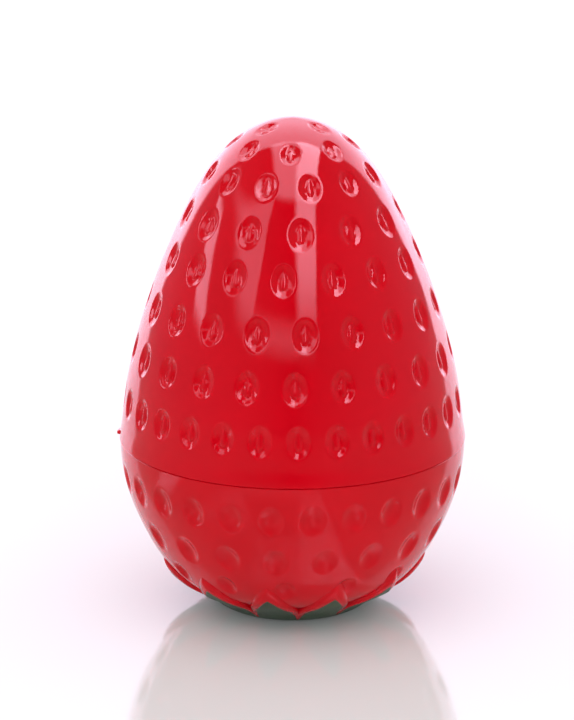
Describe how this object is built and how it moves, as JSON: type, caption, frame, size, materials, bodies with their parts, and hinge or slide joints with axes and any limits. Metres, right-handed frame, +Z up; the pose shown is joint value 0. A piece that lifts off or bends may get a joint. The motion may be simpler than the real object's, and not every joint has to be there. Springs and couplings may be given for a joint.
{
  "type": "egg shaker",
  "caption": "Strawberry-shaped hand shaker: glossy red shells dimpled with seed pits, a green leaf crown round the flat foot, loose shot sealed inside.",
  "frame": {"origin": "centre of the flat foot, on the surface it stands on", "axes": "+Z up through the pointed end; -Y towards the side with the pair of leaves seen from the front; +X to the right seen from there"},
  "size_m": [0.0535, 0.0532, 0.0764],
  "materials": {
    "red_plastic": "high gloss, injection moulded",
    "green_leaf": "dull satin dark green",
    "steel_shot": "plain ground ball"
  },
  "bodies": {
    "housing": {"upper_shell": "red_plastic", "lower_shell": "red_plastic", "leaf_crown": "green_leaf"},
    "pellet_01": {"shot_pellet_01": "steel_shot"},
    "pellet_02": {"shot_pellet_02": "steel_shot"},
    "pellet_03": {"shot_pellet_03": "steel_shot"},
    "pellet_04": {"shot_pellet_04": "steel_shot"},
    "pellet_05": {"shot_pellet_05": "steel_shot"},
    "pellet_06": {"shot_pellet_06": "steel_shot"},
    "pellet_07": {"shot_pellet_07": "steel_shot"},
    "pellet_08": {"shot_pellet_08": "steel_shot"},
    "pellet_09": {"shot_pellet_09": "steel_shot"},
    "pellet_10": {"shot_pellet_10": "steel_shot"},
    "pellet_11": {"shot_pellet_11": "steel_shot"},
    "pellet_12": {"shot_pellet_12": "steel_shot"},
    "pellet_13": {"shot_pellet_13": "steel_shot"},
    "pellet_14": {"shot_pellet_14": "steel_shot"},
    "pellet_15": {"shot_pellet_15": "steel_shot"},
    "pellet_16": {"shot_pellet_16": "steel_shot"},
    "pellet_17": {"shot_pellet_17": "steel_shot"},
    "pellet_18": {"shot_pellet_18": "steel_shot"},
    "pellet_19": {"shot_pellet_19": "steel_shot"}
  },
  "joints": [
    {"name": "pellet_01_shake", "type": "slide", "parent": "housing", "child": "pellet_01", "axis": [0, 0, 1], "range_m": [0, 0.0667]},
    {"name": "pellet_02_shake", "type": "slide", "parent": "housing", "child": "pellet_02", "axis": [0, 0, 1], "range_m": [0, 0.0655]},
    {"name": "pellet_03_shake", "type": "slide", "parent": "housing", "child": "pellet_03", "axis": [0, 0, 1], "range_m": [0, 0.0655]},
    {"name": "pellet_04_shake", "type": "slide", "parent": "housing", "child": "pellet_04", "axis": [0, 0, 1], "range_m": [0, 0.0655]},
    {"name": "pellet_05_shake", "type": "slide", "parent": "housing", "child": "pellet_05", "axis": [0, 0, 1], "range_m": [0, 0.0655]},
    {"name": "pellet_06_shake", "type": "slide", "parent": "housing", "child": "pellet_06", "axis": [0, 0, 1], "range_m": [0, 0.0655]},
    {"name": "pellet_07_shake", "type": "slide", "parent": "housing", "child": "pellet_07", "axis": [0, 0, 1], "range_m": [0, 0.0655]},
    {"name": "pellet_08_shake", "type": "slide", "parent": "housing", "child": "pellet_08", "axis": [0, 0, 1], "range_m": [0, 0.0601]},
    {"name": "pellet_09_shake", "type": "slide", "parent": "housing", "child": "pellet_09", "axis": [0, 0, 1], "range_m": [0, 0.0601]},
    {"name": "pellet_10_shake", "type": "slide", "parent": "housing", "child": "pellet_10", "axis": [0, 0, 1], "range_m": [0, 0.0601]},
    {"name": "pellet_11_shake", "type": "slide", "parent": "housing", "child": "pellet_11", "axis": [0, 0, 1], "range_m": [0, 0.0601]},
    {"name": "pellet_12_shake", "type": "slide", "parent": "housing", "child": "pellet_12", "axis": [0, 0, 1], "range_m": [0, 0.0601]},
    {"name": "pellet_13_shake", "type": "slide", "parent": "housing", "child": "pellet_13", "axis": [0, 0, 1], "range_m": [0, 0.0601]},
    {"name": "pellet_14_shake", "type": "slide", "parent": "housing", "child": "pellet_14", "axis": [0, 0, 1], "range_m": [0, 0.0601]},
    {"name": "pellet_15_shake", "type": "slide", "parent": "housing", "child": "pellet_15", "axis": [0, 0, 1], "range_m": [0, 0.0601]},
    {"name": "pellet_16_shake", "type": "slide", "parent": "housing", "child": "pellet_16", "axis": [0, 0, 1], "range_m": [0, 0.0601]},
    {"name": "pellet_17_shake", "type": "slide", "parent": "housing", "child": "pellet_17", "axis": [0, 0, 1], "range_m": [0, 0.0601]},
    {"name": "pellet_18_shake", "type": "slide", "parent": "housing", "child": "pellet_18", "axis": [0, 0, 1], "range_m": [0, 0.0601]},
    {"name": "pellet_19_shake", "type": "slide", "parent": "housing", "child": "pellet_19", "axis": [0, 0, 1], "range_m": [0, 0.0601]}
  ]
}
